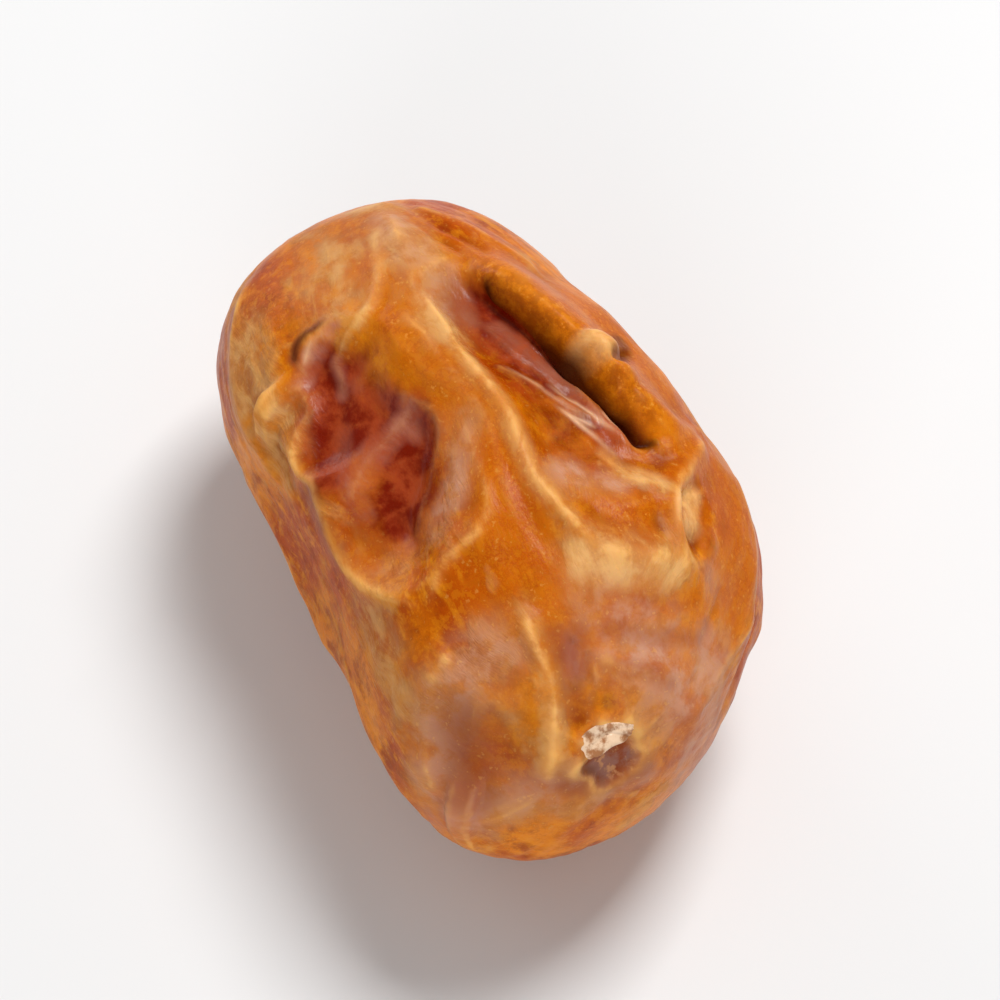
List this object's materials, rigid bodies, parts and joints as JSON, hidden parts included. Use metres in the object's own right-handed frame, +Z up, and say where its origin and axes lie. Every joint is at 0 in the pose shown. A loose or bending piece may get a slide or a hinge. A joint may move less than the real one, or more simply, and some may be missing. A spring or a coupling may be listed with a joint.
{
  "type": "sukkari date",
  "caption": "Whole ripe date lying on its side: a blunt egg-shaped fruit with shrunken, folded amber skin, sharp crests round sunken hollows and a torn stem scar.",
  "frame": {"origin": "middle of the bounding box, at the height of the surface the fruit lies on", "axes": "+X along the fruit to the stem end, -X to the tip, +Z up as it lies on its side"},
  "size_m": [0.0406, 0.0258, 0.0251],
  "materials": {
    "skin": "satin, thin waxy fruit skin, amber to red-brown with pale cream crests",
    "stem_scar": "matte, dry cream fibres"
  },
  "bodies": {
    "root": {"date": "skin"}
  },
  "joints": []
}
